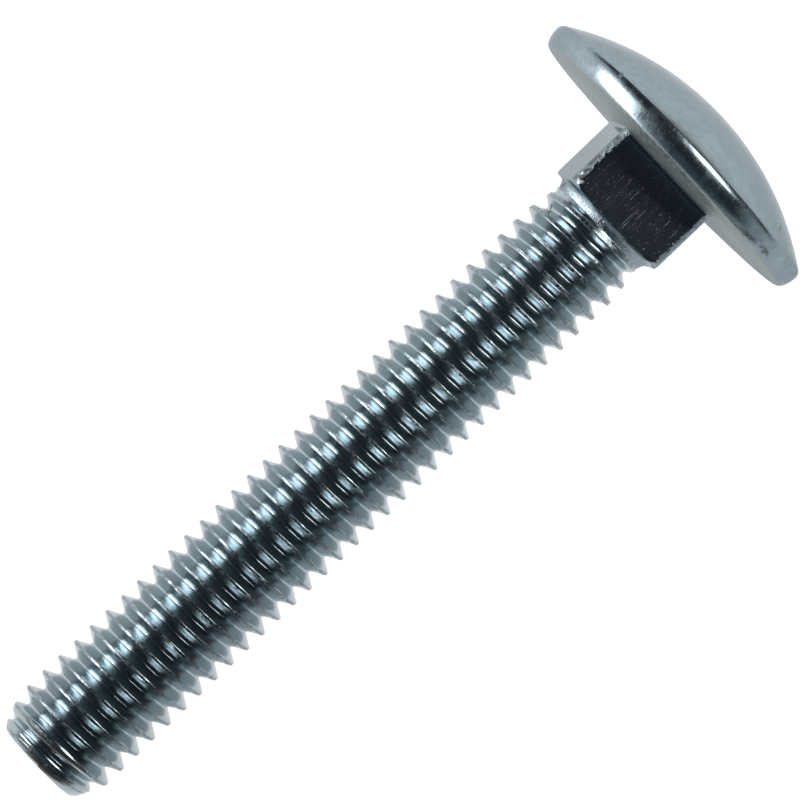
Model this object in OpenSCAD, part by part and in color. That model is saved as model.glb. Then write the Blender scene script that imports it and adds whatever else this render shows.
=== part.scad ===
// Carriage bolt, one forged and thread-rolled piece: a low domed head without a drive, a square
// neck under it, a short throat and collar, and a right-hand thread down to the tip.
// Millimetres. The bolt lies on a floor at z = 0 as it comes to rest, on the rim of its head and
// on one thread crest near the tip, with its head towards +X.

/* [Head] */
// Diameter of the domed head
head_d = 15.9; // [13:0.1:19]
// Height of the dome above the bearing face
head_h = 3.7; // [2.8:0.1:5]
// Height of the rim's widest place above the bearing face
rim_h = 0.98; // [0.85:0.01:1.2]
// Radius to which the rim's side bulges, seen in section
rim_bulge = 1.3; // [1.1:0.05:2]
// Rounding of the rim's lower edge
rim_round = 0.28; // [0.2:0.02:0.4]
// Rounding between the rim and the dome
edge_round = 0.35; // [0.2:0.05:0.5]
// Height of that rounding's centre above the rim's widest place
edge_rise = 0.06; // [0:0.01:0.2]
// How far the underside rises between the bearing face and the rim
rim_rise = 0.17; // [0.05:0.01:0.3]
// Diameter of the flat bearing face round the neck
bearing_d = 10.5; // [9.5:0.1:12]

/* [Square neck] */
// Width of the square neck across its flats
neck_w = 5.7; // [5.5:0.1:6.5]
// Length of the square neck under the head
neck_l = 3.5; // [2.8:0.1:5]
// Rounding of the neck's four long edges
neck_round = 0.4; // [0.2:0.05:0.8]
// Bevel at the neck's lower corners
neck_bevel = 0.25; // [0.1:0.05:0.6]
// Turn of the square about the bolt's axis, in degrees
neck_turn = 8.3; // [0:0.1:45]

/* [Shank] */
// Length from the bearing face to the tip
length = 39.55; // [30:0.05:50]
// Outside diameter of the thread
thread_d = 5.85; // [5.4:0.05:6.1]
// Distance from one thread crest to the next
pitch = 1; // [0.8:0.05:1.25]
// Place of the crests along the floor side, as a fraction of the pitch
thread_start = 0.25; // [0:0.01:0.99]
// Diameter at which the throat under the square begins
throat_d = 6; // [5.7:0.05:6.6]
// Height of the throat, which narrows from there to the collar
throat_l = 0.45; // [0.1:0.05:1]
// Length of the plain collar between the throat and the thread
collar_l = 0.05; // [0.05:0.05:2]
// Length over which the crests reach their full height below the collar
runout_l = 2; // [1:0.25:4]
// Length over which the root reaches its full depth below the collar
root_runout_l = 0.5; // [0.25:0.25:4]
// How far the tip's end face lies inside the thread's root
tip_inset = 0.12; // [0.05:0.01:0.5]
// Height of the steep bevel round the tip's end face
tip_bevel = 0.2; // [0.1:0.05:0.5]
// Slope of the cone that leads the thread in, in degrees from the axis
tip_lead = 23; // [12:1:45]

/* [Hidden] */
zinc = [0.66, 0.69, 0.71];
fine = 72;
steps = 20;
cut = 1;

// the head's profile: centres of the rim's bulge and of the two roundings that run into it, each
// with the angle at which it meets the bulge, then the dome's sphere
head_r = head_d / 2;
rim_c = [head_r - rim_bulge, rim_h];
low_h = rim_rise + rim_round - rim_h;
low_angle = asin(low_h / (rim_bulge - rim_round));
low_c = rim_c + (rim_bulge - rim_round) * [cos(low_angle), sin(low_angle)];
top_angle = asin(edge_rise / (rim_bulge - edge_round));
top_c = rim_c + (rim_bulge - edge_round) * [cos(top_angle), sin(top_angle)];
dome_r = (top_c[0] ^ 2 + (head_h - top_c[1]) ^ 2 - edge_round ^ 2) / (2 * (head_h - top_c[1] - edge_round));
dome_z = head_h - dome_r;
dome_angle = atan2(top_c[1] - dome_z, top_c[0]);
dome_edge = top_c + edge_round * [cos(dome_angle), sin(dome_angle)];
under_run = low_c - [bearing_d / 2, 0];
under_angle = atan2(under_run[1], under_run[0]) - asin(rim_round / norm(under_run));
under_edge = low_c + rim_round * [sin(under_angle), -cos(under_angle)];

// the neck: distance from the axis to its rounded corners
neck_in = neck_w / 2 - neck_round;
corner_r = neck_in * sqrt(2) + neck_round;

// the thread: flanks at 60 degrees, narrow flats on the crest and in the root
thread_r = thread_d / 2;
thread_depth = 0.65 * pitch;
root_r = thread_r - thread_depth;
flank_w = thread_depth * tan(30);
flat_w = (pitch - 2 * flank_w) / 2;
collar_r = thread_r - pitch / 4;
throat_z = -neck_l - throat_l;
collar_z = throat_z - collar_l;
core_r = 0.985 * collar_r;
tip_r = root_r - tip_inset;

// the helix starts below the tip and ends inside the neck, where the flat cuts hide its ends
helix_z = pitch * (thread_start - ceil(length / pitch + thread_start + 1.6));
helix_n = ceil(steps * ((cut / 3 - neck_l - helix_z) / pitch + 1));
rows = [-flat_w / 2, flat_w / 2, flat_w / 2 + flank_w, pitch - flat_w / 2 - flank_w];

// height above the floor's line: the bolt leans until its tip's crests touch the floor too
contact_z = [for (k = [0 : ceil(length / pitch)]) helix_z + k * pitch - flat_w / 2];
lean = min([for (z = contact_z) if (z > -length && z < collar_z - runout_l) lean_at(z)]);
lift = rim_c[0] * cos(lean) - rim_c[1] * sin(lean) + rim_bulge;
reach = [-tip_r * sin(lean) - length * cos(lean), dome_z * cos(lean) + dome_r];

// radius of the cone at the tip, at a height above the end face
function tip_cone(h) = tip_r + min(h, tip_bevel) + max(0, h - tip_bevel) * tan(tip_lead);

// lean at which the crest at height z and the rim's bulge rest on one line
function lean_at(z) =
    let (d = rim_c - [min(thread_r, tip_cone(z + length)), z])
    atan2(d[0], d[1]) + asin(rim_bulge / norm(d));

// share of the full form at height z, from 0 at the collar to 1 at a distance l below it
function share(z, l) = max(0, min(1, (collar_z - z) / l));

// radius of a crest row (m < 2) or a root row at height z
function row_r(m, z) =
    m < 2 ? core_r + share(z, runout_l) * (thread_r - core_r)
          : core_r + share(z, root_runout_l) * (root_r - core_r);

function row_z(i, m) = helix_z + pitch * i / steps + rows[m];

// a slice of a disc from angle a0 to angle a1, its straight sides through the centre
module slice(centre, r, a0, a1) {
    translate(centre)
        intersection() {
            circle(r, $fn = 24);
            polygon([[0, 0], 2 * r * [cos(a0), sin(a0)], 2 * r * [cos(a1), sin(a1)]]);
        }
}

module head_profile() {
    polygon([[0, 0], [bearing_d / 2, 0], under_edge, low_c, rim_c, top_c, dome_edge, [0, dome_edge[1]]]);
    slice(low_c, rim_round, under_angle - 90, low_angle);
    slice(rim_c, rim_bulge, low_angle, top_angle);
    slice(top_c, edge_round, top_angle, dome_angle);
    intersection() {
        translate([0, dome_z]) circle(dome_r, $fn = 100);
        translate([0, dome_edge[1]]) square([head_r, head_h]);
    }
}

// the bearing face is flat round the neck, and the underside rises from it to the rounded rim
module head() {
    rotate_extrude($fn = fine) head_profile();
}

module neck_section() {
    square([2 * neck_in, neck_w], center = true);
    square([neck_w, 2 * neck_in], center = true);
    for (a = [0 : 90 : 270])
        rotate(a) slice([neck_in, neck_in], neck_round, 0, 90);
}

// Under the square the section shrinks to a cone and a plain collar. The flats run down into the
// cone at their middles, and a small bevel cuts the square's corners.
module neck() {
    wide = corner_r + cut;
    intersection() {
        rotate(neck_turn) translate([0, 0, collar_z]) linear_extrude(cut - collar_z) neck_section();
        rotate_extrude($fn = fine)
            polygon([
                [0, collar_z], [collar_r, collar_z], [collar_r, throat_z], [throat_d / 2, -neck_l],
                [corner_r - neck_bevel, -neck_l], [wide, -neck_l + neck_bevel + cut],
                [wide, 2 * cut], [0, 2 * cut]
            ]);
    }
}

// The rolled thread: four rows of points climb side by side along the helix, two on the crest and
// two in the root, and each row joins the next one up. Both ends close on a point of the axis.
module helix() {
    n = helix_n;
    points = [
        for (i = [0 : n], m = [0 : 3])
            let (z = row_z(i, m), r = row_r(m, z), a = 360 * i / steps)
            [r * cos(a), r * sin(a), z],
        [0, 0, helix_z + pitch / 2],
        [0, 0, row_z(n, 0) - pitch / 2]
    ];
    low = 4 * (n + 1);
    top = low + 1;
    faces = [
        for (i = [0 : n - 1], m = [0 : 2])
            each quad(4 * i + m, 4 * i + 4 + m, 4 * i + 5 + m, 4 * i + 1 + m),
        for (i = [0 : n - steps - 1])
            each quad(4 * i + 3, 4 * i + 7, 4 * (i + steps) + 4, 4 * (i + steps)),
        for (i = [0 : steps - 1]) [low, 4 * i + 4, 4 * i],
        for (m = [0 : 2]) [low, m, m + 1],
        [low, 3, 4 * steps],
        for (i = [n - steps : n - 1]) [top, 4 * i + 3, 4 * i + 7],
        for (m = [0 : 2]) [top, 4 * n + m + 1, 4 * n + m],
        [top, 4 * n, 4 * (n - steps) + 3]
    ];
    polyhedron(points = points, faces = faces, convexity = 10);
}

// two triangles, wound so that they face away from the axis
function quad(a, b, c, d) = [[a, c, b], [a, d, c]];

// the end face, its steep bevel and the slower cone cut the helix to the tip's form
module thread() {
    wide = thread_r + cut;
    intersection() {
        helix();
        rotate_extrude($fn = fine)
            polygon([
                [0, -length], [tip_r, -length], [tip_r + tip_bevel, -length + tip_bevel],
                [wide, -length + tip_bevel + (wide - tip_r - tip_bevel) / tan(tip_lead)],
                [wide, 0], [0, 0]
            ]);
    }
}

module carriage_bolt() {
    color(zinc)
        translate([-(reach[0] + reach[1]) / 2, 0, lift])
            rotate([0, 90 - lean, 0]) {
                head();
                neck();
                thread();
            }
}

carriage_bolt();
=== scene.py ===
"""A bright zinc-plated carriage bolt, lying on a pale floor on its head's rim and a thread crest.

The bolt is one closed surface of columns round its axis and rows along it, worked out with numpy in
millimetres on the bolt's own axis (x towards the floor, z towards the head, 0 at the bearing face)
and then laid down. From the tip up, the rows are: the end face, the helical thread, the collar and
throat, the square neck, the underside, the rim and the dome. The thread's rows climb one pitch in
each turn, so that every row keeps its place on the thread: on a crest, a flank or in the root.
"""

import math

import bpy
import numpy as np
from mathutils import Matrix, Vector


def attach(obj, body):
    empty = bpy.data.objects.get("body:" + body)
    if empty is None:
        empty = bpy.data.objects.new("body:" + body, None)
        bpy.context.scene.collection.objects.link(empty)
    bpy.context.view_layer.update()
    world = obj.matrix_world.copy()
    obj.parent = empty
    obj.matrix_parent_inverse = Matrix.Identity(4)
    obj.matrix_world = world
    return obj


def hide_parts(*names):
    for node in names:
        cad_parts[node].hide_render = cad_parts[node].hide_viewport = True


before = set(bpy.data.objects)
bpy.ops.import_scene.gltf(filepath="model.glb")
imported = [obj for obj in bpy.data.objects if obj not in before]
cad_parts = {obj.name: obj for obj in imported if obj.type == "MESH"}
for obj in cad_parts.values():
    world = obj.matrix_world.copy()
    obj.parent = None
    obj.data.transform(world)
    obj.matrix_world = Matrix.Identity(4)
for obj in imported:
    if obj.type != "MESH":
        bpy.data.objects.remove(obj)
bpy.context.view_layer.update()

# the head in millimetres: its rim's side bulges, and two roundings join it to underside and dome
HEAD_R, HEAD_H, BEARING_R = 7.95, 3.7, 5.25
RIM_H, RIM_BULGE, RIM_ROUND, RIM_RISE = 0.98, 1.3, 0.28, 0.17
EDGE_ROUND, EDGE_RISE = 0.35, 0.06

# the square neck
NECK_HALF, NECK_L, NECK_ROUND, NECK_BEVEL = 2.85, 3.5, 0.4, 0.25
NECK_FILLET, SHOULDER_RISE = 0.12, 0.02
NECK_TURN = math.radians(8.3)

# the throat and collar under it, and the shallow waist at their foot
THROAT_R, THROAT_L, COLLAR_L = 3.0, 0.45, 0.05
WAIST, WAIST_RUN = 0.08, 0.36

# the thread, and how far its crests and root take to run out under the collar
LENGTH = 39.55
THREAD_R, PITCH, THREAD_START, THREAD_DEPTH, ROOT_ROUND = 2.925, 1.0, 0.25, 0.65, 0.12
FLANK_SLOPE = math.tan(math.radians(60))
CREST_RUNOUT, ROOT_RUNOUT = 2.0, 0.5
TIP_INSET, TIP_BEVEL, TIP_LEAD = 0.12, 0.2, math.radians(23)

# the first crests under the collar are blunter by this share, which fades out over this length
BLUNT, BLUNT_RUN = 0.5, 6.0

# unevenness: how far the crests' lips wander, their dents and swells, the flanks' ripple, the lines
# that the die drew on the neck's flats, and the wear of the neck's corners
RAGGED, DENTS, SWELLS, RIPPLE = 0.010, 0.020, 0.014, 0.0025
DIE_LINES, CORNER_WEAR = 0.0035, 0.035

COLLAR_R = THREAD_R - PITCH / 4
THROAT_Z = -NECK_L - THROAT_L
COLLAR_Z = THROAT_Z - COLLAR_L
TIP_R = THREAD_R - THREAD_DEPTH - TIP_INSET

# columns of the surface, those of them that go round one corner of the neck, and their angles where
# they are evenly spaced
COLUMNS, CORNER_COLUMNS = 144, 10
EVEN = 2 * math.pi * np.arange(COLUMNS) / COLUMNS

# turns that the helix has to spare below the tip and above the collar, where it is cut off
BELOW_TIP, ABOVE_COLLAR = 1.6, 3

# depth under the crest's top over which a crest gives way to its flanks
CREST_BAND = 0.05

# steps per millimetre to which points are rounded when they are compared, and how far under the
# bearing face a row has to lie to belong to the neck
COMPARE, JUST_UNDER = 20000, 0.001

# places in the list of finishes
THREAD, NECK, HEAD = 0, 1, 2

random = np.random.default_rng(7)


def smooth(t):
    """An easy curve from 0 to 1: 3 t squared less 2 t cubed, held at both ends."""
    t = np.clip(t, 0.0, 1.0)
    return t * t * (3 - 2 * t)


def waves(angle, along, count, lobes, length):
    """Soft unevenness of about -1 to 1: the sum of some sine waves over the root of their count. They
    have whole lobes round the axis, so that they close round the bolt, and random lengths along it."""
    total = np.zeros(np.broadcast(angle, along).shape)
    for _ in range(count):
        n = random.integers(0, lobes + 1)
        k = random.uniform(-1, 1) * 2 * math.pi / length
        total += np.sin(n * angle + k * along + random.uniform(0, 2 * math.pi))
    return total / count ** 0.5


def on_circle(centre, radius, angle):
    """A point of the head's section, as distance from the axis and height: the circle's centre plus
    its radius times the angle's cosine and sine."""
    return centre[0] + radius * math.cos(angle), centre[1] + radius * math.sin(angle)


def head_arcs():
    """The head's section as four arcs that run into one another: the rim's lower rounding, its bulging
    side, its upper rounding and the dome. Each is a centre, a radius, a first and a last angle. Where
    a circle touches a wider one from inside, their centres lie as far apart as their radii differ."""
    rim = (HEAD_R - RIM_BULGE, RIM_H)
    low = math.asin((RIM_RISE + RIM_ROUND - RIM_H) / (RIM_BULGE - RIM_ROUND))
    low_at = on_circle(rim, RIM_BULGE - RIM_ROUND, low)
    top = math.asin(EDGE_RISE / (RIM_BULGE - EDGE_ROUND))
    top_at = on_circle(rim, RIM_BULGE - EDGE_ROUND, top)
    # the underside's line starts at the bearing face's edge and touches the lower rounding
    out, up = low_at[0] - BEARING_R, low_at[1]
    under = math.atan2(up, out) - math.asin(RIM_ROUND / math.hypot(out, up))
    # the dome's middle lies on the axis, and the upper rounding touches the dome from inside
    rise = HEAD_H - top_at[1]
    dome_r = (top_at[0] ** 2 + rise ** 2 - EDGE_ROUND ** 2) / (2 * (rise - EDGE_ROUND))
    dome_at = (0.0, HEAD_H - dome_r)
    edge = math.atan2(top_at[1] - dome_at[1], top_at[0])
    return ((low_at, RIM_ROUND, under - math.pi / 2, low), (rim, RIM_BULGE, low, top),
            (top_at, EDGE_ROUND, top, edge), (dome_at, dome_r, edge, math.pi / 2))


def tip_cone(height):
    """Largest radius at a height above the end face: the face's own, plus the height as far as a 45
    degree bevel goes, plus the rest of the height times the slope of a slower cone."""
    return TIP_R + np.minimum(height, TIP_BEVEL) + np.maximum(height - TIP_BEVEL, 0) * math.tan(TIP_LEAD)


def at_rest():
    """The bolt's lean, and the place of its bearing face's middle in the frame. It leans up towards
    the head until the rim's bulge and a full crest near the tip lie on one line along the floor. That
    line's angle is the angle of the way from the crest to the bulge's centre plus the arc sine of the
    bulge's radius over the distance. The frame's origin is halfway between the tip's end and the
    dome's."""
    _, (rim, bulge, _, _), _, (dome, dome_r, _, _) = head_arcs()
    crest_flat = PITCH / 2 - THREAD_DEPTH / FLANK_SLOPE
    crests = PITCH * (THREAD_START - np.arange(math.ceil(LENGTH / PITCH))) - crest_flat / 2
    crests = crests[(crests > -LENGTH) & (crests < COLLAR_Z - CREST_RUNOUT)]
    out = rim[0] - np.minimum(THREAD_R, tip_cone(crests + LENGTH))
    up = rim[1] - crests
    lean = float(np.min(np.arctan2(out, up) + np.arcsin(bulge / np.hypot(out, up))))
    c, s = math.cos(lean), math.sin(lean)
    tip_end, dome_end = -TIP_R * s - LENGTH * c, dome[1] * c + dome_r
    return lean, -(tip_end + dome_end) / 2, rim[0] * c - rim[1] * s + bulge


LEAN, AXIS_X, AXIS_Z = at_rest()


# the thread
def thread_rows():
    """Place of each row on one pitch, from root to root, and its depth under the crest. The root is
    an arc that meets the flanks at 60 degrees. On a straight flank the depth is the distance from the
    crest's edge times the slope. The crest is a blunt band of two lips, where the rolled metal met,
    with a shallow seam between them."""
    a = np.radians([0, 30, 60])
    root_at = PITCH / 2 - ROOT_ROUND * np.sin(a)
    root_deep = THREAD_DEPTH - ROOT_ROUND * (1 - np.cos(a))
    crest_half = root_at[-1] - root_deep[-1] / FLANK_SLOPE
    # rows by their distance from the crest's middle: three on a flank, then a lip's top and the seam
    flank_at = np.array([0.30, 0.19, 0.083])
    flank_deep = (flank_at - crest_half) * FLANK_SLOPE
    lip_at, lip_deep = [0.053, 0.020], [0.002, 0.010]
    half_at = np.concatenate([root_at, flank_at, lip_at])
    half_deep = np.concatenate([root_deep, flank_deep, lip_deep])
    return np.concatenate([-half_at, half_at[:0:-1]]), np.concatenate([half_deep, half_deep[:0:-1]])


def waist(z):
    """Depth of the shallow waist at the throat's foot, from which the first crest flares out: its
    full depth times an easy curve that rises from a little under the collar to the collar's top."""
    return WAIST * smooth((z - COLLAR_Z + WAIST_RUN) / (WAIST_RUN + COLLAR_L))


def shank():
    """Radius, angle, height and share of the crest of the threaded shank, and its rows in a turn. Row
    i, column j lies at the height first + pitch * (turn of the row + share of the turn of the column)
    + place on the pitch, held between the end face and the collar, and at the crest radius less the
    row's depth. Towards the collar both crest and root run into the collar's radius, and the tip's
    cone cuts the rest."""
    at, deep = thread_rows()
    m = len(at)
    first = PITCH * (THREAD_START - math.ceil(LENGTH / PITCH + THREAD_START + BELOW_TIP))
    turns = math.ceil((COLLAR_Z - first) / PITCH) + ABOVE_COLLAR
    i = np.arange(turns * m)[:, None]
    angle = EVEN + 0 * i
    depth = deep[i % m] + 0 * angle
    crestness = np.clip(1 - depth / CREST_BAND, 0, 1)
    middle = first + PITCH * (i // m + np.arange(COLUMNS) / COLUMNS)
    # the first crests under the collar are blunter, and every lip wanders a little
    fade = (middle - COLLAR_Z + CREST_RUNOUT + BLUNT_RUN) / BLUNT_RUN
    blunt = 1 + BLUNT * smooth(fade) * (crestness > 0)
    ragged = random.normal(0, RAGGED, depth.shape)
    ragged = ragged + np.roll(ragged, 1, axis=1)
    free_z = middle + at[i % m] * blunt + ragged * crestness
    crest_r = COLLAR_R + smooth((COLLAR_Z - free_z) / CREST_RUNOUT) * (THREAD_R - COLLAR_R)
    root_share = np.clip((COLLAR_Z - free_z) / ROOT_RUNOUT, 0, 1)
    root_r = COLLAR_R + root_share * (THREAD_R - THREAD_DEPTH - COLLAR_R)
    share = depth / THREAD_DEPTH
    r = crest_r + (root_r - crest_r) * share
    # rolled crests are rough: each lip is dented by itself, and the flanks ripple a little
    lips = random.uniform(0, 1, r.shape) ** 2
    lips = 0.6 * lips + 0.4 * np.roll(lips, 1, axis=1)
    swell = 0.5 + 0.5 * waves(angle, free_z, count=9, lobes=14, length=3.0)
    ripple = 1 + waves(angle, free_z, count=8, lobes=30, length=1.3)
    r = r - crestness * (DENTS * lips + SWELLS * np.clip(swell, 0, 1))
    r = r - (1 - crestness) * RIPPLE * ripple * smooth(share * 4)
    r = np.minimum(r, tip_cone(np.maximum(free_z + LENGTH, 0)))
    z = np.clip(free_z, -LENGTH, COLLAR_Z)
    r = np.where(free_z <= -LENGTH, TIP_R, r)
    r = np.where(free_z >= COLLAR_Z, COLLAR_R, r)
    # the waist hardly cuts into the root
    r = r - waist(z) * (1 - 0.8 * share * (free_z < COLLAR_Z))
    return (r, angle, z, crestness, 0 * r), m


# neck and head
def neck_columns():
    """Angle and radius of the square neck's outline for each column, and how much it belongs to a
    corner. Every side takes a quarter of the columns: most evenly along its flat, at half the neck's
    width from the axis, and the rest round its corner, at the rounding's centre plus its radius times
    cosine and sine."""
    inner = NECK_HALF - NECK_ROUND
    flat = np.linspace(-inner, inner, COLUMNS // 4 - CORNER_COLUMNS + 1)
    bend = np.linspace(0, math.pi / 2, CORNER_COLUMNS + 1)[1:-1]
    x = np.concatenate([np.full(flat.shape, NECK_HALF), inner + NECK_ROUND * np.cos(bend)])
    y = np.concatenate([flat, inner + NECK_ROUND * np.sin(bend)])
    corner = np.concatenate([np.zeros(flat.shape), np.sin(bend * 2)])
    quarter = np.arange(4)[:, None] * math.pi / 2
    angle = (np.arctan2(y, x)[None, :] + quarter + NECK_TURN).ravel()
    # the column that lies nearest to angle 0 comes first
    shift = int(np.argmin(np.abs((angle + math.pi) % (2 * math.pi) - math.pi)))
    angle = np.unwrap(np.roll(angle, -shift))
    radius = np.roll(np.tile(np.hypot(x, y), 4), -shift)
    corner = np.roll(np.tile(corner, 4), -shift)
    return angle - 2 * math.pi * round(angle[0] / (2 * math.pi)), radius, corner


def gathered(square_a, share):
    """Angles of the columns, a share of the way from even ones to those of the square."""
    return EVEN + (square_a - EVEN) * share


def row(r, angle, z, corner=0.0):
    """One row of the surface, as bolt_surface wants it. No crest runs through it."""
    return [np.broadcast_to(value, COLUMNS) for value in (r, angle, z, 0.0, corner)]


def throat_rows(square_a, square_r):
    """Collar and throat, on which the columns gather towards the square's corners. The throat's radius
    grows from the waist's with the height's share, and under the square mostly with its sixth power.
    The flats run down into it, because a row is never wider than the square."""
    rows = []
    for t in np.linspace(0, 1, 4)[1:]:
        z = COLLAR_Z + t * COLLAR_L
        rows.append(row(COLLAR_R - waist(z), gathered(square_a, 0.5 * smooth(t)), z))
    for t in np.linspace(0, 1, 15)[1:]:
        flare = 0.42 * t + 0.58 * t ** 6
        circle = COLLAR_R - WAIST + (THROAT_R - COLLAR_R + WAIST) * flare
        angle = gathered(square_a, 0.5 + 0.5 * smooth(t))
        rows.append(row(np.minimum(circle, square_r), angle, THROAT_Z + t * THROAT_L))
    return rows


def neck_rows(square_a, square_r, corner):
    """The shoulder under the square's corners, their bevel, the square itself and its fillet. A row is
    the square cut by a circle: the smaller of the outline's radius and the circle's. The fillet stands
    out from the square by its radius times one less the cosine, in a quarter turn."""
    rows = []
    bevel_r = square_r.max() - NECK_BEVEL
    for t in (0.12, 0.5, 0.9, 1.0):
        circle = THROAT_R + (bevel_r - THROAT_R) * t
        rows.append(row(np.minimum(circle, square_r), square_a, -NECK_L + SHOULDER_RISE * t ** 3))
    for t in (0.15, 0.4, 0.7, 1.0):
        z = -NECK_L + SHOULDER_RISE + (NECK_BEVEL - SHOULDER_RISE) * t
        rows.append(row(np.minimum(bevel_r + NECK_BEVEL * t, square_r), square_a, z, corner * t))
    # the corners are worn, and the flats carry the marks of the die
    drawn = random.normal(0, 1, COLUMNS)
    drawn = 0.25 * np.roll(drawn, 1) + 0.5 * drawn + 0.25 * np.roll(drawn, -1)
    heights = np.linspace(-NECK_L + NECK_BEVEL, -NECK_FILLET, 26)[1:]
    wear = random.uniform(0, 1, (len(heights), COLUMNS)) ** 3
    bites = waves(square_a[None, :], heights[:, None], count=9, lobes=40, length=0.9)
    wear = wear + 0.5 * np.clip(bites, 0, 2)
    for z, worn in zip(heights, wear):
        r = square_r - DIE_LINES * np.abs(drawn) - CORNER_WEAR * corner * worn
        rows.append(row(r, square_a, z, corner))
    for a in np.radians([30, 60, 90]):
        r = square_r + NECK_FILLET * (1 - math.cos(a))
        rows.append(row(r, square_a, -NECK_FILLET * (1 - math.sin(a)), corner * math.cos(a)))
    return rows


def head_rows(square_a, square_r):
    """The bearing face, on which the columns spread evenly again, then circles whose radius and height
    follow the underside's line and the head's arcs up to the middle of the dome."""
    rows = []
    foot = square_r + NECK_FILLET
    for t in (0.2, 0.5, 0.8, 1.0):
        rows.append(row(foot + (BEARING_R - foot) * t, gathered(square_a, 1 - smooth(t)), 0.0))
    low, side, top, dome = head_arcs()
    under_r, under_z = on_circle(*low[:3])
    for t in (0.2, 0.5, 0.8):
        rows.append(row(BEARING_R + (under_r - BEARING_R) * t, EVEN, under_z * t))
    angles = [np.linspace(*low[2:], 8), np.linspace(*side[2:], 9)[1:-1],
              np.linspace(*top[2:], 10), np.linspace(*dome[2:], 26)[1:]]
    for arc, along in zip((low, side, top, dome), angles):
        for a in along:
            r, z = on_circle(*arc[:2], a)
            rows.append(row(r, EVEN, z))
    return rows


def neck_and_head():
    """All rows from the collar up to the dome's top."""
    square_a, square_r, corner = neck_columns()
    rows = throat_rows(square_a, square_r) + neck_rows(square_a, square_r, corner)
    return np.moveaxis(np.array(rows + head_rows(square_a, square_r)), 1, 0)


def end_face():
    """Rows from the end face's middle out to its edge: shares of the tip's radius, all at its height."""
    share = np.array([0.0, 0.3, 0.6, 0.85, 0.97])[:, None]
    nothing = 0 * share * EVEN
    return TIP_R * share + nothing, EVEN + nothing, -LENGTH + nothing, nothing, nothing


# one closed surface
def bolt_surface():
    """Joins the three sets of rows into one surface. A quad joins columns j and j + 1 of rows i and
    i + 1. After the last column a plain row meets its own start, and a row of the thread meets the
    start of the row one pitch above. Points that fall together, at the poles and where the thread's
    rows are held at an end, are made one, and faces that lose their area go."""
    end = end_face()
    thread, m = shank()
    r, a, z, crest, corner = (np.concatenate(rows) for rows in zip(end, thread, neck_and_head()))
    first = len(end[0])
    last = first + len(thread[0])
    # the neck's finish ends with the last row that is clearly under the bearing face
    finish = np.full(len(r), THREAD)
    finish[last:] = np.where(z[last:, 0] < -JUST_UNDER, NECK, HEAD)

    grid = np.arange(r.size).reshape(r.shape)
    after = np.arange(len(r))
    after[first:last - m] += m
    right = np.concatenate([grid[:, 1:], grid[after, 0][:, None]], axis=1)
    # the thread's last turn only serves as what the turn under it meets
    rows = np.array([k for k in range(len(r) - 1) if not last - m - 1 <= k < last - 1])
    quads = np.stack([grid[rows], right[rows], right[rows + 1], grid[rows + 1]], -1).reshape(-1, 4)
    finish = np.repeat(finish[rows + 1], COLUMNS)

    spot = np.stack([r * np.cos(a), r * np.sin(a), z], -1).reshape(-1, 3)
    key = np.round(spot * COMPARE).astype(np.int64)
    _, keep, same = np.unique(key, axis=0, return_index=True, return_inverse=True)
    quads = same.ravel()[quads]

    # a face keeps the corners that differ from the one before
    differ = quads != np.roll(quads, 1, axis=1)
    four, three = differ.sum(1) == 4, differ.sum(1) == 3
    triangles = quads[three][differ[three]].reshape(-1, 3)
    faces = quads[four].tolist() + triangles.tolist()
    finish = np.concatenate([finish[four], finish[three]])
    return spot[keep], faces, finish, crest.ravel()[keep], corner.ravel()[keep]


def lay_down(spot):
    """Turns points from the bolt's axis to the frame, in metres: about Y by a right angle less the
    lean, then up to the height of the axis over the floor."""
    x, y, z = spot.T
    c, s = math.cos(LEAN), math.sin(LEAN)
    return np.stack([AXIS_X + x * s + z * c, y, AXIS_Z - x * c + z * s], -1) / 1000


def make_bolt(finishes):
    """The bolt as one piece. Its crests and corners are marked for the finishes."""
    spot, faces, finish, crest, corner = bolt_surface()
    mesh = bpy.data.meshes.new("carriage_bolt_plated")
    mesh.from_pydata(lay_down(spot).tolist(), [], faces)
    mesh.polygons.foreach_set("material_index", finish.astype(np.int32))
    mesh.polygons.foreach_set("use_smooth", np.ones(len(mesh.polygons), bool))
    for name, values in (("crest", crest), ("corner", corner)):
        layer = mesh.attributes.new(name, "FLOAT", "POINT")
        layer.data.foreach_set("value", values.astype(np.float32))
    for material in finishes:
        mesh.materials.append(material)
    mesh.validate()
    mesh.update()
    piece = bpy.data.objects.new("carriage_bolt_plated", mesh)
    bpy.context.scene.collection.objects.link(piece)
    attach(piece, "root")
    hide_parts("carriage_bolt")


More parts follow.
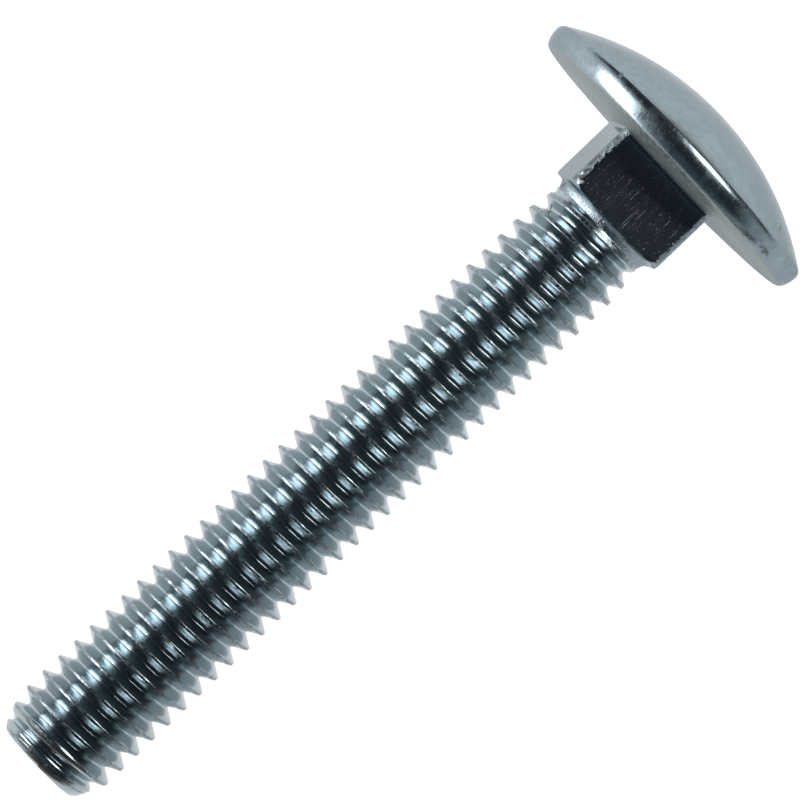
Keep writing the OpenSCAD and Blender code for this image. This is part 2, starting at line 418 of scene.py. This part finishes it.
# materials
class Nodes:
    """Short hand for building a node tree."""

    def __init__(self, tree):
        self.tree = tree

    def fill(self, socket, value):
        """Links a socket's value, or sets a plain one."""
        if isinstance(value, bpy.types.NodeSocket):
            self.tree.links.new(value, socket)
        else:
            socket.default_value = value

    def add(self, kind, inputs=None, **settings):
        """A new node with its inputs filled and its settings made."""
        node = self.tree.nodes.new(kind)
        for name, value in settings.items():
            setattr(node, name, value)
        for socket, value in (inputs or {}).items():
            self.fill(node.inputs[socket], value)
        return node

    def math(self, operation, a, b=0.0, c=0.0):
        return self.add("ShaderNodeMath", {0: a, 1: b, 2: c}, operation=operation).outputs[0]

    def times(self, a, b):
        return self.math("MULTIPLY", a, b)

    def sum_up(self, start, *terms):
        """The start and all terms, each of them a value and its weight."""
        for value, weight in terms:
            start = self.math("MULTIPLY_ADD", value, weight, start)
        return start

    def ramp(self, value, low, high):
        """Goes from 0 to 1 while value goes from low to high."""
        node = self.add("ShaderNodeMapRange", {"Value": value, "From Min": low, "From Max": high},
                        interpolation_type="SMOOTHSTEP")
        return node.outputs["Result"]

    def noise(self, where, scale, detail=2.0, rough=0.5):
        node = self.add("ShaderNodeTexNoise", {"Vector": where, "Scale": scale, "Detail": detail,
                                               "Roughness": rough})
        return node.outputs["Fac"]

    def patches(self, where, scale, low, high, detail=4.0, rough=0.6):
        """Soft patches: 0 where a noise lies under low, and 1 where it lies over high."""
        return self.ramp(self.noise(where, scale, detail, rough), low, high)

    def mix(self, share, a, b):
        """Colour a with a share of colour b in it."""
        node = self.add("ShaderNodeMix", {"Factor": share}, data_type="RGBA")
        self.fill(node.inputs[6], a)
        self.fill(node.inputs[7], b)
        return node.outputs[2]

    def coats(self, colour, *layers):
        """Lays colours over the first one, each by a share times a strength."""
        for share, strength, layer in layers:
            colour = self.mix(self.times(share, strength), colour, layer)
        return colour

    def split(self, vector):
        return self.add("ShaderNodeSeparateXYZ", {0: vector}).outputs

    def length(self, vector):
        return self.add("ShaderNodeVectorMath", {0: vector}, operation="LENGTH").outputs["Value"]

    def stretch(self, where, x, y, z):
        return self.add("ShaderNodeMapping", {"Vector": where, "Scale": (x, y, z)}).outputs["Vector"]

    def attribute(self, name):
        return self.add("ShaderNodeAttribute", attribute_name=name).outputs["Fac"]

    def place(self):
        return self.add("ShaderNodeTexCoord").outputs["Object"]

    def on_axis(self):
        """Object coordinates turned to the bolt's own axis, in millimetres."""
        node = self.add("ShaderNodeMapping", {"Vector": self.place()}, vector_type="TEXTURE")
        node.inputs["Location"].default_value = (AXIS_X / 1000, 0, AXIS_Z / 1000)
        node.inputs["Rotation"].default_value = (0, math.pi / 2 - LEAN, 0)
        node.inputs["Scale"].default_value = (0.001, 0.001, 0.001)
        return node.outputs["Vector"]


def new_material(name):
    """An empty material, and what builds its nodes."""
    material = bpy.data.materials.new(name)
    material.use_nodes = True
    material.node_tree.nodes.clear()
    return material, Nodes(material.node_tree)


def finish_metal(k, colour, roughness, height, strength, relief, edge):
    """Plated metal. relief is how far a height of 1 stands out, in metres, and edge is the tint of
    what the metal mirrors at a glancing angle."""
    bump = k.add("ShaderNodeBump", {"Height": height, "Strength": strength, "Distance": relief})
    shader = k.add("ShaderNodeBsdfPrincipled", {"Base Color": colour, "Metallic": 1.0,
                                                "Roughness": roughness, "Specular Tint": edge,
                                                "Normal": bump.outputs[0]})
    k.add("ShaderNodeOutputMaterial", {"Surface": shader.outputs[0]})


ZINC = (0.315, 0.375, 0.415, 1)
ZINC_CLOUD = (0.235, 0.305, 0.335, 1)
ZINC_BRIGHT = (0.37, 0.445, 0.475, 1)
ZINC_WORN = (0.385, 0.42, 0.425, 1)
# the next two colours also darken the neck's corners on one side, where they are painted shade as well as
# wear
ZINC_RUBBED = (0.185, 0.222, 0.238, 1)
ZINC_STAIN = (0.055, 0.058, 0.062, 1)
ZINC_BARE = (0.78, 0.81, 0.82, 1)
DULL_EDGE = (0.58, 0.61, 0.62, 1)
CLEAR_EDGE = (1, 1, 1, 1)

# heights in millimetres between which the dome's finish gives way to the rim's, the rim's to the
# underside's, and the neck's to the throat's
DOME_TO_RIM = 1.5, 1.2
RIM_TO_UNDERSIDE = 0.30, 0.14
NECK_TO_THROAT = -3.48, -3.66

# the underside's flutes: how many there are, and the radii and heights over which they come up
FLUTES, FLUTES_FROM, FLUTES_UNDER = 108, (5.9, 6.5), (0.24, 0.16)

# the marks of wear: how far off the axis and how high each lies, its size and its turn in degrees
HEAD_SCRATCH = dict(side=5.72, height=1.84, wide=0.045, tall=0.26, turn=28)
RIM_CHIP = dict(side=-4.25, height=1.24, wide=0.12, tall=0.17)
RIM_SMEAR = dict(side=4.92, height=0.44, wide=0.62, tall=0.12)
RIM_SMEAR_END = dict(side=5.93, height=0.53, wide=0.38, tall=0.17)
NECK_DASH = dict(side=2.90, height=-3.60, wide=0.09, tall=0.24, turn=-38)
NECK_SLIT = dict(side=-2.52, height=-3.77, wide=0.035, tall=0.16)
NECK_BRUISE = dict(side=-2.07, height=-3.23, wide=0.10, tall=0.20, turn=-35)
THREAD_FOLD = dict(side=-2.19, height=-4.87, wide=0.05, tall=0.19, turn=35)


def mark(k, at, side, height, wide, tall, turn=0.0):
    """A small soft-edged mark on the upper side: 1 within an ellipse whose middle lies side
    millimetres off the axis and height millimetres above the bearing face."""
    moved = k.add("ShaderNodeMapping", {"Vector": at, "Location": (0, side, -height)})
    turned = k.add("ShaderNodeMapping", {"Vector": moved.outputs["Vector"],
                                         "Rotation": (math.radians(turn), 0, 0)})
    shrunk = k.stretch(turned.outputs["Vector"], 0, 1 / wide, 1 / tall)
    upper_side = k.ramp(k.split(at)[0], 0.0, -0.3)
    return k.times(k.ramp(k.length(shrunk), 1.0, 0.6), upper_side)


def head_finish():
    """Zinc plate on the die-smooth head: cloudy passivation, small pits, a few fine scratches, one
    deeper scratch and a chip. The rim is a little duller in patches and has a dark smear. The
    underside, which the die left as it was, is duller still, with fine radial flutes near its edge."""
    material, k = new_material("zinc_plate_head")
    at = k.on_axis()
    x, y, level = k.split(at)
    cloud = k.patches(at, scale=0.55, low=0.35, high=0.65)
    mottle = k.patches(at, scale=2.6, low=0.40, high=0.66)
    pits = k.patches(at, scale=6.0, low=0.63, high=0.72, detail=3)
    grain = k.noise(at, scale=6.0, detail=4, rough=0.65)
    fine_lines = k.stretch(at, 1.2, 14, 1.2)
    scratches = k.patches(fine_lines, scale=1.0, low=0.70, high=0.74, detail=2, rough=0.5)

    rim = k.ramp(level, *DOME_TO_RIM)
    rim_patches = k.times(rim, k.patches(at, scale=1.6, low=0.40, high=0.62, rough=0.65))
    underside = k.ramp(level, *RIM_TO_UNDERSIDE)
    underside_grain = k.times(underside, k.noise(at, scale=9.0, detail=3))
    flutes = k.math("SINE", k.times(k.math("ARCTAN2", y, x), FLUTES))
    flutes = k.times(flutes, k.ramp(k.length(k.stretch(at, 1, 1, 0)), *FLUTES_FROM))
    flutes = k.times(flutes, k.ramp(level, *FLUTES_UNDER))

    scratch = mark(k, at, **HEAD_SCRATCH)
    chip = mark(k, at, **RIM_CHIP)
    smear = k.math("MAXIMUM", mark(k, at, **RIM_SMEAR), mark(k, at, **RIM_SMEAR_END))
    smear_grain = k.sum_up(0.1, (k.ramp(grain, 0.45, 0.53), 0.65))

    colour = k.coats(ZINC, (cloud, 0.35, ZINC_CLOUD), (mottle, 0.55, ZINC_CLOUD),
                     (underside, 1.0, ZINC_WORN), (pits, 0.22, ZINC_STAIN), (scratch, 0.8, ZINC_STAIN),
                     (smear, smear_grain, ZINC_STAIN), (k.math("MAXIMUM", flutes, 0.0), 0.18, ZINC_STAIN))
    rough = k.sum_up(0.165, (cloud, 0.03), (rim, 0.04), (pits, 0.15), (underside, 0.22),
                     (rim_patches, 0.08), (chip, 0.35))
    height = k.sum_up(0.0, (grain, 0.8), (pits, -0.25), (scratches, -0.25), (underside_grain, 1.5),
                      (flutes, 1.2))
    finish_metal(k, colour, rough, height, strength=0.6, relief=0.000012, edge=DULL_EDGE)
    return material


def neck_finish():
    """Zinc plate on the neck: fine score lines along the axis, which are deeper on the throat, and
    corners that are rubbed and dull. The corners on one side also carry painted shade: their colour is
    darkened to show a dark reflection. At the neck's foot are a bruise and two short dark lines."""
    material, k = new_material("zinc_plate_neck")
    at = k.on_axis()
    _, y, level = k.split(at)
    lines = k.noise(k.stretch(at, 26, 26, 0.16), scale=1.0, detail=1)
    broken = k.patches(k.stretch(at, 7, 7, 1.6), scale=1.0, low=0.44, high=0.60, detail=2, rough=0.5)
    scores = k.times(k.ramp(lines, 0.58, 0.70), broken)
    specks = k.patches(k.stretch(at, 11, 11, 7), scale=1.0, low=0.70, high=0.74, detail=2)
    grain = k.noise(at, scale=12.0)
    throat = k.ramp(level, *NECK_TO_THROAT)

    # painted shade on the corners: their colour is darkened on one side only, partly for rubbed wear and
    # partly to show a dark reflection
    corner = k.attribute("corner")
    dull_and_shaded = k.times(corner, k.patches(at, scale=3.6, low=0.42, high=0.60, rough=0.65))
    rubbed_and_shaded_side = k.times(k.ramp(y, -1.0, 0.0), 0.8)

    dark_lines = k.math("MAXIMUM", mark(k, at, **NECK_DASH), mark(k, at, **NECK_SLIT))
    bruise = mark(k, at, **NECK_BRUISE)

    # the two corner coats are painted shade on one side, laid over rubbed wear
    colour = k.coats(ZINC, (scores, 0.5, ZINC_WORN), (corner, rubbed_and_shaded_side, ZINC_RUBBED),
                     (dull_and_shaded, rubbed_and_shaded_side, ZINC_STAIN), (dark_lines, 1.0, ZINC_STAIN), (bruise, 1.0, ZINC_BARE))
    rough = k.sum_up(0.155, (scores, 0.12), (specks, 0.28), (dull_and_shaded, 0.25), (throat, 0.06), (bruise, 0.30))
    height = k.sum_up(0.0, (lines, k.sum_up(0.12, (throat, 2.0))), (grain, 0.10), (scores, 0.10),
                      (dull_and_shaded, -1.6))
    finish_metal(k, colour, rough, height, strength=0.6, relief=0.00002, edge=DULL_EDGE)
    return material


def thread_finish():
    """Zinc plate on the rolled thread: smooth flanks with faint marks along the helix, and crests
    that are pitted, rubbed and stained dark in places. A dark fold lies in the first groove."""
    material, k = new_material("zinc_plate_thread")
    at = k.on_axis()
    crest = k.attribute("crest")
    cloud = k.patches(at, scale=0.8, low=0.35, high=0.65, detail=3, rough=0.5)
    marks = k.noise(k.stretch(at, 2.0, 2.0, 26.0), scale=1.0, detail=3, rough=0.55)
    pits = k.noise(at, scale=9.0, detail=3, rough=0.65)
    stain = k.times(crest, k.patches(at, scale=4.6, low=0.47, high=0.55, rough=0.7))
    fold = mark(k, at, **THREAD_FOLD)

    colour = k.coats(ZINC_BRIGHT, (cloud, 0.5, ZINC), (crest, 0.6, ZINC_RUBBED),
                     (stain, 0.4, ZINC_STAIN), (fold, 1.0, ZINC_STAIN))
    rough = k.sum_up(0.20, (crest, -0.02), (stain, 0.2))
    height = k.sum_up(0.0, (marks, 0.22), (pits, k.sum_up(0.22, (crest, 0.6))))
    finish_metal(k, colour, rough, height, strength=0.7, relief=0.00003, edge=CLEAR_EDGE)
    return material


# floor, lamps and camera
HEADWARD = Vector((math.cos(LEAN), 0, math.sin(LEAN)))
UPWARD = Vector((-math.sin(LEAN), 0, math.cos(LEAN)))
SIDEWARD = Vector((0, -1, 0))

WHITE = (1, 1, 1, 1)
FLOOR_GREY = (0.35, 0.35, 0.35, 1)
ROOM_DARK = (0.02, 0.024, 0.03, 1)
ROOM_PALE = (0.62, 0.66, 0.68, 1)
ROOM_PALE_RIGHT = (0.46, 0.515, 0.54, 1)
ROOM_BACK = (0.065, 0.09, 0.105, 1)
TABLE_EDGE = (0.20, 0.12, 0.075, 1)

# half widths of the floor and of the cards, in metres
FLOOR_HALF, CARD_HALF = 1.5, 0.25

# how bright the floor is to the camera, and least and most in the metal
FLOOR_SEEN, FLOOR_MIRRORED, FLOOR_MIRRORED_MOST = 0.87, 0.60, 0.80

# the height of the lamps' aim over the bearing face, in millimetres
LAMP_AIM = -8

# the camera: how far off it is and what it aims at, in millimetres, then its picture's width in
# pixels, the pixels that a millimetre at the axis takes, and the axis's angle in the picture
CAMERA_FAR, CAMERA_AIM, CAMERA_AIM_SIDE = 265, -16.016, -0.569
PICTURE, PIXELS_PER_MM, AXIS_TILT = 800, 21.717, math.radians(43.7)
SENSOR = 36


def axis_point(z, side=0.0):
    """A point by the bolt's axis, z millimetres from the bearing face and side millimetres off it."""
    foot = Vector((AXIS_X, 0, AXIS_Z)) + HEADWARD * z + SIDEWARD * side
    return foot / 1000


def card(name, corners, material):
    """A flat thing with four corners, given in metres."""
    mesh = bpy.data.meshes.new(name)
    mesh.from_pydata(corners, [], [(0, 1, 2, 3)])
    mesh.materials.append(material)
    piece = bpy.data.objects.new(name, mesh)
    bpy.context.scene.collection.objects.link(piece)
    return piece


def pale_floor():
    """A white floor. It shows as plain white to the camera and in the metal, and keeps the shadow.
    The metal finds it a little darker on the side away from the low lamp."""
    material, k = new_material("pale_floor")
    path = k.add("ShaderNodeLightPath").outputs
    lit_side = k.ramp(k.split(k.place())[1], -0.03, 0.01)
    mirrored = k.sum_up(FLOOR_MIRRORED, (lit_side, FLOOR_MIRRORED_MOST - FLOOR_MIRRORED))
    level = k.sum_up(mirrored, (path["Is Camera Ray"], k.math("SUBTRACT", FLOOR_SEEN, mirrored)))
    plain = k.add("ShaderNodeBsdfDiffuse", {"Color": FLOOR_GREY})
    lit = k.add("ShaderNodeEmission", {"Color": WHITE, "Strength": level})
    both = k.add("ShaderNodeAddShader", {0: plain.outputs[0], 1: lit.outputs[0]})
    seen = k.math("MAXIMUM", path["Is Camera Ray"], path["Is Glossy Ray"])
    seen = k.math("MAXIMUM", seen, path["Is Transmission Ray"])
    mix = k.add("ShaderNodeMixShader", {0: seen, 1: plain.outputs[0], 2: both.outputs[0]})
    k.add("ShaderNodeOutputMaterial", {"Surface": mix.outputs[0]})
    h = FLOOR_HALF
    floor = card("floor", [(-h, -h, 0), (h, -h, 0), (h, h, 0), (-h, h, 0)], material)


def black_card():
    """A plain dark surface with a faint warm strip along its foot."""
    material, k = new_material("black_card")
    colour = k.mix(k.ramp(k.split(k.place())[2], 0.007, 0.001), ROOM_DARK, TABLE_EDGE)
    shade = k.add("ShaderNodeEmission", {"Color": colour, "Strength": 1.0})
    k.add("ShaderNodeOutputMaterial", {"Surface": shade.outputs[0]})
    return material


def dark_flag(name, x, height, material):
    """A black card that stands across the bolt's line, so that the metal has something dark to show
    above the floor's near part. Only reflections see it."""
    h = CARD_HALF
    flag = card(name, [(x, -h, 0), (x, h, 0), (x, h, height), (x, -h, height)], material)
    flag.visible_camera = flag.visible_diffuse = flag.visible_shadow = False


def way_to(azimuth, elevation):
    """A direction from the bolt's middle: azimuth degrees from straight up over to the side, and
    elevation degrees from there towards the head."""
    a, e = math.radians(azimuth), math.radians(elevation)
    level = SIDEWARD * math.sin(a) + UPWARD * math.cos(a)
    return level * math.cos(e) + HEADWARD * math.sin(e)


def soft_lamp(name, low, high, wide, level):
    """A rectangular softbox between two ends, each given as azimuth, elevation and distance in
    metres, that faces the bolt. level is its brightness, where white is 1."""
    start, end = (way_to(a, e) * d for a, e, d in (low, high))
    along = (end - start).normalized()
    way = (start + end).normalized()
    way = (way - along * way.dot(along)).normalized()
    tall = (end - start).length
    light = bpy.data.lights.new(name, "AREA")
    light.shape = "RECTANGLE"
    light.size, light.size_y = wide, tall
    light.energy = level * math.pi * wide * tall
    lamp = bpy.data.objects.new(name, light)
    turn = Matrix((along.cross(way), along, way)).transposed().to_4x4()
    lamp.matrix_world = Matrix.Translation(axis_point(LAMP_AIM) + (start + end) / 2) @ turn
    lamp.visible_camera = False
    bpy.context.scene.collection.objects.link(lamp)


def room():
    """Dark overhead, round the camera, a little less so beyond the tip, and pale low down and at the
    bolt's two sides, where the right one is the darker. The ramps run over parts of the direction."""
    world = bpy.data.worlds.new("room")
    world.use_nodes = True
    world.node_tree.nodes.clear()
    k = Nodes(world.node_tree)
    to_head, to_left, up = k.split(k.add("ShaderNodeTexCoord").outputs["Generated"])
    sides = k.ramp(k.math("ABSOLUTE", to_left), 0.86, 0.95)
    low_down = k.ramp(up, 0.30, 0.10)
    beyond_tip = k.ramp(to_head, -0.45, -0.75)
    overhead = k.mix(beyond_tip, ROOM_DARK, ROOM_BACK)
    walls = k.mix(k.ramp(to_left, -0.2, 0.2), ROOM_PALE_RIGHT, ROOM_PALE)
    colour = k.mix(k.math("MAXIMUM", sides, low_down), overhead, walls)
    shade = k.add("ShaderNodeBackground", {"Color": colour, "Strength": 1.0})
    k.add("ShaderNodeOutputWorld", {"Surface": shade.outputs[0]})
    bpy.context.scene.world = world


def camera():
    """Looks straight down on the bolt's side, with the head at the picture's upper right. A millimetre
    at the axis takes its pixels when the lens's length is to the sensor's width as the distance times
    those pixels is to the picture's width."""
    c, s = math.cos(AXIS_TILT), math.sin(AXIS_TILT)
    turn = Matrix((HEADWARD * c + SIDEWARD * s, HEADWARD * s - SIDEWARD * c, UPWARD)).transposed()
    place = axis_point(CAMERA_AIM, CAMERA_AIM_SIDE) + UPWARD * CAMERA_FAR / 1000
    lens = bpy.data.cameras.new("camera")
    lens.sensor_width = SENSOR
    lens.lens = SENSOR * CAMERA_FAR * PIXELS_PER_MM / PICTURE
    lens.clip_start = 0.01
    view = bpy.data.objects.new("camera", lens)
    view.matrix_world = Matrix.Translation(place) @ turn.to_4x4()
    bpy.context.scene.collection.objects.link(view)
    bpy.context.scene.camera = view


make_bolt([thread_finish(), neck_finish(), head_finish()])
pale_floor()
flag_finish = black_card()
dark_flag("flag_head", x=0.062, height=0.025, material=flag_finish)
dark_flag("flag_tip", x=-0.034, height=0.012, material=flag_finish)
room()
soft_lamp("lamp_left", low=(-90, -66, 0.45), high=(-58, -2, 0.27), wide=0.155, level=6.3)
soft_lamp("lamp_right", low=(26, 20, 0.11), high=(27, 77, 0.42), wide=0.060, level=7.0)
camera()

bpy.context.scene.view_settings.view_transform = "Standard"
